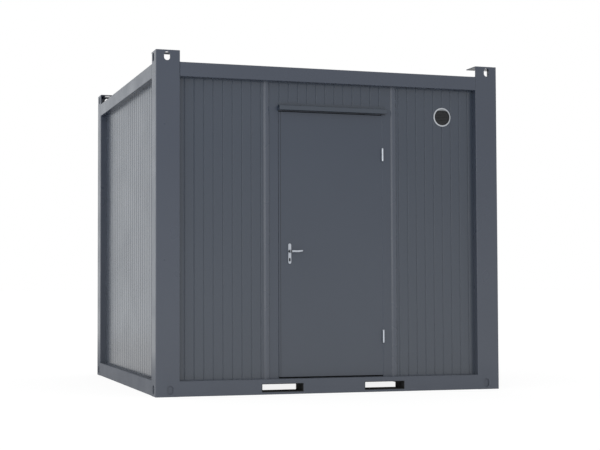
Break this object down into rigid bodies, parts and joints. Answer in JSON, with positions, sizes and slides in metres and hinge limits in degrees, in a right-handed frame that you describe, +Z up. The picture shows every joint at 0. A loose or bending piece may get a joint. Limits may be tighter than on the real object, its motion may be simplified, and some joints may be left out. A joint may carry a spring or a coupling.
{
  "type": "portable site cabin",
  "caption": "Steel-framed portable cabin with grooved sandwich walls, an outward-opening door with lever handles, a vent, lifting corners and fork pockets.",
  "frame": {"origin": "centre of the footprint, on the ground under the feet", "axes": "+X to the right of someone who faces the door, +Y from the door side to the back, +Z up"},
  "size_m": [2.989, 2.435, 2.735],
  "materials": {
    "ceiling_lining": "matte",
    "door_paint": "satin",
    "floor_covering": "matte",
    "frame_paint": "satin",
    "roof_sheet": "satin",
    "satin_hardware": "satin",
    "threshold": "brushed",
    "trim_paint": "satin",
    "underframe_paint": "satin",
    "vent_metal": "satin",
    "vent_screen": "matte",
    "wall_skin": "satin"
  },
  "bodies": {
    "cabin": {"back_wall": "wall_skin", "bottom_rail_back": "frame_paint", "bottom_rail_front": "frame_paint", "bottom_rail_left": "frame_paint", "bottom_rail_right": "frame_paint", "ceiling_panel": "ceiling_lining", "corner_post_back_left": "frame_paint", "corner_post_back_right": "frame_paint", "corner_post_front_left": "frame_paint", "corner_post_front_right": "frame_paint", "cover_strip_left": "trim_paint", "cover_strip_right": "trim_paint", "door_frame": "door_paint", "door_sill": "threshold", "floor_deck": "floor_covering", "floor_joists": "underframe_paint", "foot_back_left": "frame_paint", "foot_back_right": "frame_paint", "foot_front_left": "frame_paint", "foot_front_right": "frame_paint", "fork_pocket_left": "underframe_paint", "fork_pocket_right": "underframe_paint", "front_wall_left": "wall_skin", "front_wall_over_door": "wall_skin", "front_wall_right": "wall_skin", "hinge_pins": "satin_hardware", "left_wall": "wall_skin", "lifting_corner_back_left": "frame_paint", "lifting_corner_back_right": "frame_paint", "lifting_corner_front_left": "frame_paint", "lifting_corner_front_right": "frame_paint", "rain_canopy": "trim_paint", "right_wall": "wall_skin", "roof_sheet": "roof_sheet", "top_rail_back": "frame_paint", "top_rail_front": "frame_paint", "top_rail_left": "frame_paint", "top_rail_right": "frame_paint", "vent_mesh": "vent_screen", "vent_ring": "vent_metal"},
    "door": {"door_leaf": "door_paint", "hinge_knuckles": "satin_hardware", "handle_plates": "satin_hardware", "lock_cylinder": "satin_hardware"},
    "lever": {"lever_handles": "satin_hardware"}
  },
  "joints": [
    {"name": "door_swing", "type": "hinge", "parent": "cabin", "child": "door", "pos_m": [0.45825, -1.1715, 0.4535], "axis": [0, 0, 1], "range_deg": [0, 110]},
    {"name": "lever_turn", "type": "hinge", "parent": "door", "child": "lever", "pos_m": [-0.364, -1.1425, 1.151], "axis": [0, 1, 0], "range_deg": [0, 40], "stiffness_Nm_per_rad": 1.5, "springref_deg": -34.38}
  ]
}
